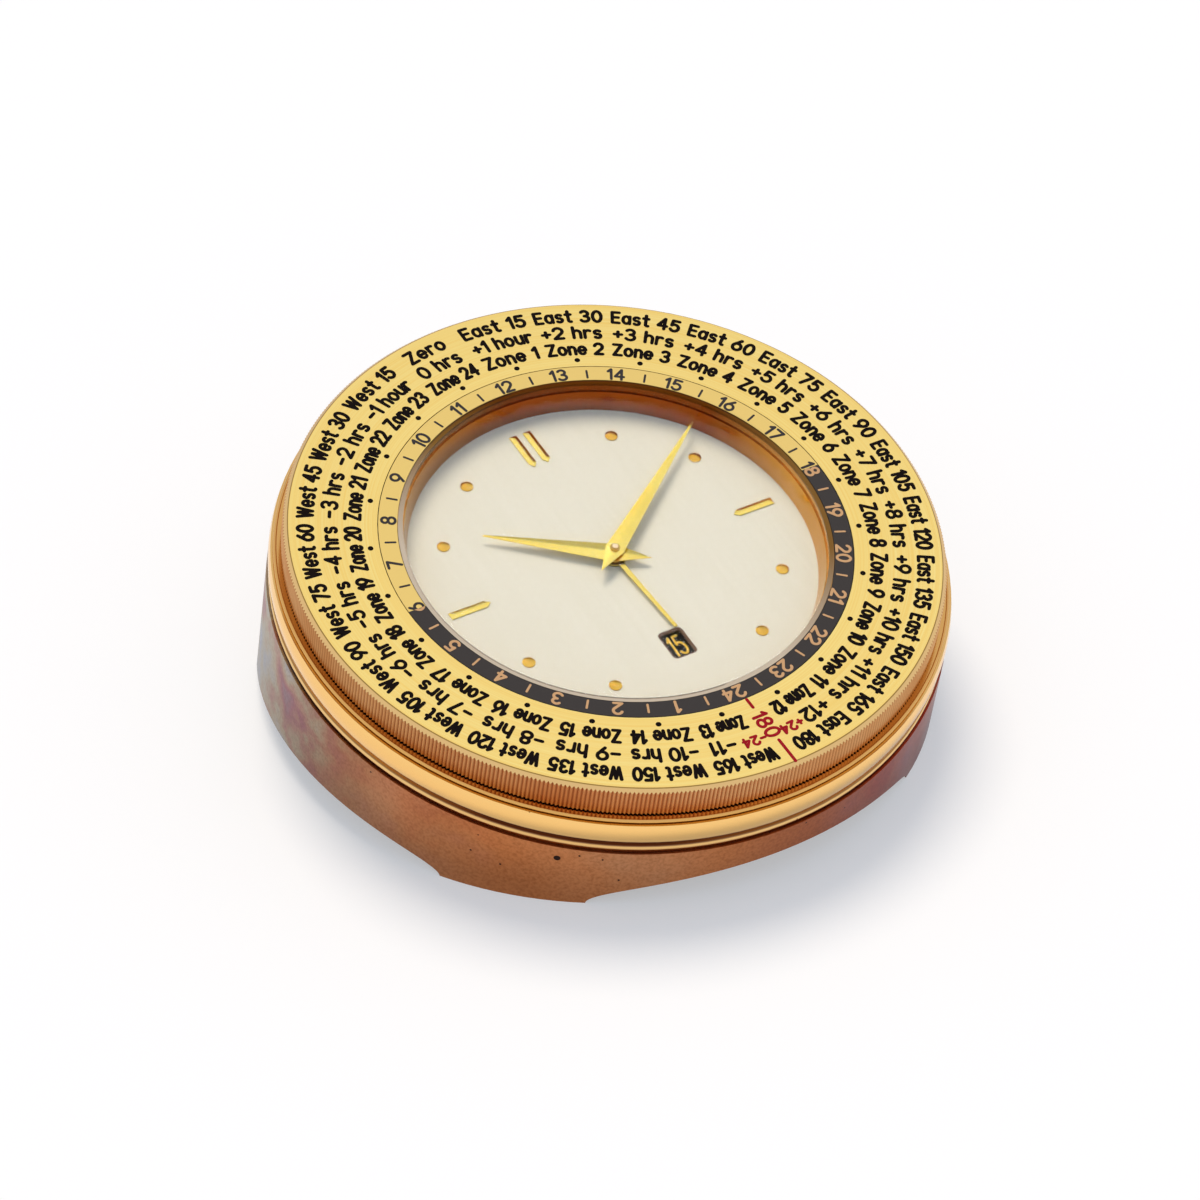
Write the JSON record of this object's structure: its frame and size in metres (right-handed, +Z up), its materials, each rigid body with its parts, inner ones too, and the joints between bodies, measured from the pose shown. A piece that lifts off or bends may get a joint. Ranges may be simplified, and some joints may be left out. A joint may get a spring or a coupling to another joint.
{
  "type": "desk clock",
  "caption": "Round gilt desk clock with a sloping dial, a coin-edged turning zone ring, a day and night hour ring, alarm and date, on an arched drum case.",
  "frame": {"origin": "on the table under the middle of the clock's outline", "axes": "+Z up, +Y from 6 o'clock to 12 o'clock, +X towards 3 o'clock; the dial leans back towards +Y"},
  "size_m": [0.12, 0.1238, 0.0457],
  "materials": {
    "skirt_copper": "polished, tarnished",
    "ring_gilt": "polished gilt",
    "zone_gilt": "brushed gilt",
    "day_ring_enamel": "half gilt, half black",
    "lip_gilt": "polished gilt",
    "crystal_glass": "clear",
    "dial_silvered": "fine matt",
    "marker_gilt": "polished",
    "hand_gilt": "polished",
    "date_enamel": "black with gilt numbers",
    "cover_steel": "spun",
    "control_brass": "turned",
    "movement_brass": "machined",
    "movement_steel": "polished"
  },
  "bodies": {
    "case": {"case_skirt": "skirt_copper", "case_ring": "ring_gilt", "case_screws": "movement_steel", "bezel_spring": "movement_steel", "day_ring": "day_ring_enamel", "rehaut_ring": "lip_gilt", "crystal": "crystal_glass", "dial_plate": "dial_silvered", "dial_feet": "movement_steel", "dot_markers": "marker_gilt", "baton_markers": "marker_gilt", "date_jumper": "movement_steel", "calendar_plate": "movement_brass", "calendar_posts": "movement_steel", "mounting_plate": "cover_steel", "carrier_screws": "movement_steel", "plate_screws": "movement_steel", "front_plate": "movement_brass", "back_plate": "movement_brass", "pillars": "movement_brass", "motion_studs": "movement_steel", "dust_cover": "cover_steel", "balance_cups": "movement_steel", "click_springs": "movement_steel", "gong": "movement_steel", "gong_posts": "movement_steel"},
    "zone_ring": {"zone_ring": "zone_gilt"},
    "minute_work": {"minute_hand": "hand_gilt", "center_arbor": "movement_steel", "center_wheel": "movement_brass", "cannon_pinion": "movement_brass", "hand_set_knob": "control_brass"},
    "hour_work": {"hour_hand": "hand_gilt", "hour_wheel": "movement_brass"},
    "minute_wheel": {"minute_wheel": "movement_brass"},
    "date_wheel": {"date_wheel": "movement_brass"},
    "intermediate_wheel": {"intermediate_wheel": "movement_brass"},
    "time_barrel": {"time_barrel": "movement_brass", "time_mainspring": "movement_steel"},
    "third_wheel": {"third_wheel": "movement_brass"},
    "fourth_wheel": {"fourth_wheel": "movement_brass"},
    "escape_wheel": {"escape_wheel": "movement_brass"},
    "pallet_fork": {"pallet_fork": "movement_steel"},
    "balance": {"balance_wheel": "movement_brass", "hairspring": "movement_steel"},
    "alarm_setting": {"alarm_set_arbor": "movement_steel", "alarm_set_knob": "control_brass"},
    "alarm_pointer": {"alarm_hand": "hand_gilt", "alarm_wheel": "movement_brass"},
    "date_ring": {"date_ring": "date_enamel"},
    "time_winding": {"time_winder": "movement_steel", "time_key": "control_brass"},
    "alarm_winding": {"alarm_winder": "movement_steel", "alarm_key": "control_brass"},
    "alarm_barrel": {"alarm_barrel": "movement_brass", "alarm_mainspring": "movement_steel"},
    "strike_wheel": {"strike_wheel": "movement_brass"},
    "alarm_hammer": {"alarm_hammer": "movement_steel"},
    "alarm_stop": {"alarm_stop": "control_brass"}
  },
  "joints": [
    {"name": "zone_ring_turn", "type": "hinge", "parent": "case", "child": "zone_ring", "pos_m": [0, -0.00429, 0.03575], "axis": [0, 0.1736, -0.9848], "continuous": true},
    {"name": "minute_turn", "type": "hinge", "parent": "case", "child": "minute_work", "pos_m": [0, -0.00335, 0.03039], "axis": [0, 0.1736, -0.9848], "continuous": true},
    {"name": "hour_turn", "type": "hinge", "parent": "case", "child": "hour_work", "pos_m": [0, -0.00335, 0.03039], "axis": [0, 0.1736, -0.9848], "continuous": true},
    {"name": "minute_wheel_turn", "type": "hinge", "parent": "case", "child": "minute_wheel", "pos_m": [-0.00771, 0.0067, 0.02637], "axis": [0, 0.1736, -0.9848], "continuous": true},
    {"name": "date_wheel_turn", "type": "hinge", "parent": "case", "child": "date_wheel", "pos_m": [-0.0041, -0.01384, 0.02499], "axis": [0, 0.1736, -0.9848], "continuous": true},
    {"name": "intermediate_turn", "type": "hinge", "parent": "case", "child": "intermediate_wheel", "pos_m": [-0.00891, -0.01044, 0.01929], "axis": [0, 0.1736, -0.9848], "continuous": true},
    {"name": "time_barrel_turn", "type": "hinge", "parent": "case", "child": "time_barrel", "pos_m": [-0.01692, 0.00249, 0.01487], "axis": [0, 0.1736, -0.9848], "continuous": true},
    {"name": "third_turn", "type": "hinge", "parent": "case", "child": "third_wheel", "pos_m": [0.0054, 0.00774, 0.02138], "axis": [0, 0.1736, -0.9848], "continuous": true},
    {"name": "fourth_turn", "type": "hinge", "parent": "case", "child": "fourth_wheel", "pos_m": [0.00072, 0.0159, 0.0217], "axis": [0, 0.1736, -0.9848], "continuous": true},
    {"name": "escape_turn", "type": "hinge", "parent": "case", "child": "escape_wheel", "pos_m": [0.00835, 0.02062, 0.0203], "axis": [0, 0.1736, -0.9848], "continuous": true},
    {"name": "pallet_swing", "type": "hinge", "parent": "case", "child": "pallet_fork", "pos_m": [0.01317, 0.01663, 0.0196], "axis": [0, 0.1736, -0.9848], "range_deg": [-6, 6]},
    {"name": "balance_swing", "type": "hinge", "parent": "case", "child": "balance", "pos_m": [0.01896, 0.01003, 0.01732], "axis": [0, 0.1736, -0.9848], "range_deg": [-160, 160], "stiffness_Nm_per_rad": 0.000004},
    {"name": "alarm_set_turn", "type": "hinge", "parent": "case", "child": "alarm_setting", "pos_m": [0.01182, -0.00498, 0.02767], "axis": [0, 0.1736, -0.9848], "continuous": true},
    {"name": "alarm_hand_turn", "type": "hinge", "parent": "case", "child": "alarm_pointer", "pos_m": [0, -0.00335, 0.03039], "axis": [0, 0.1736, -0.9848], "continuous": true},
    {"name": "date_ring_turn", "type": "hinge", "parent": "case", "child": "date_ring", "pos_m": [0, -0.00321, 0.0296], "axis": [0, 0.1736, -0.9848], "continuous": true},
    {"name": "time_winding_turn", "type": "hinge", "parent": "case", "child": "time_winding", "pos_m": [-0.01692, 0.00378, 0.00758], "axis": [0, 0.1736, -0.9848], "continuous": true},
    {"name": "alarm_winding_turn", "type": "hinge", "parent": "case", "child": "alarm_winding", "pos_m": [0.01547, -0.01202, 0.0048], "axis": [0, 0.1736, -0.9848], "continuous": true},
    {"name": "alarm_barrel_turn", "type": "hinge", "parent": "case", "child": "alarm_barrel", "pos_m": [0.01547, -0.01369, 0.01425], "axis": [0, 0.1736, -0.9848], "continuous": true},
    {"name": "strike_turn", "type": "hinge", "parent": "case", "child": "strike_wheel", "pos_m": [0.00781, -0.01963, 0.01097], "axis": [0, 0.1736, -0.9848], "continuous": true},
    {"name": "hammer_swing", "type": "hinge", "parent": "case", "child": "alarm_hammer", "pos_m": [0.00124, -0.02237, 0.01272], "axis": [0, 0.1736, -0.9848], "range_deg": [-8, 2]},
    {"name": "alarm_stop_press", "type": "slide", "parent": "case", "child": "alarm_stop", "axis": [0, -0.1736, 0.9848], "range_m": [0, 0.0012], "stiffness_N_per_m": 150, "springref_m": -0.001}
  ],
  "couplings": [
    {"joint": "hour_turn", "follows": "minute_turn", "ratio": 0.083333},
    {"joint": "minute_wheel_turn", "follows": "minute_turn", "ratio": -0.33333},
    {"joint": "date_wheel_turn", "follows": "minute_turn", "ratio": -0.041667},
    {"joint": "intermediate_turn", "follows": "minute_turn", "ratio": -0.2},
    {"joint": "time_barrel_turn", "follows": "minute_turn", "ratio": 0.04},
    {"joint": "third_turn", "follows": "minute_turn", "ratio": -8},
    {"joint": "fourth_turn", "follows": "minute_turn", "ratio": 60},
    {"joint": "escape_turn", "follows": "minute_turn", "ratio": -600},
    {"joint": "alarm_hand_turn", "follows": "alarm_set_turn", "ratio": -0.25},
    {"joint": "strike_turn", "follows": "alarm_barrel_turn", "ratio": -4}
  ]
}
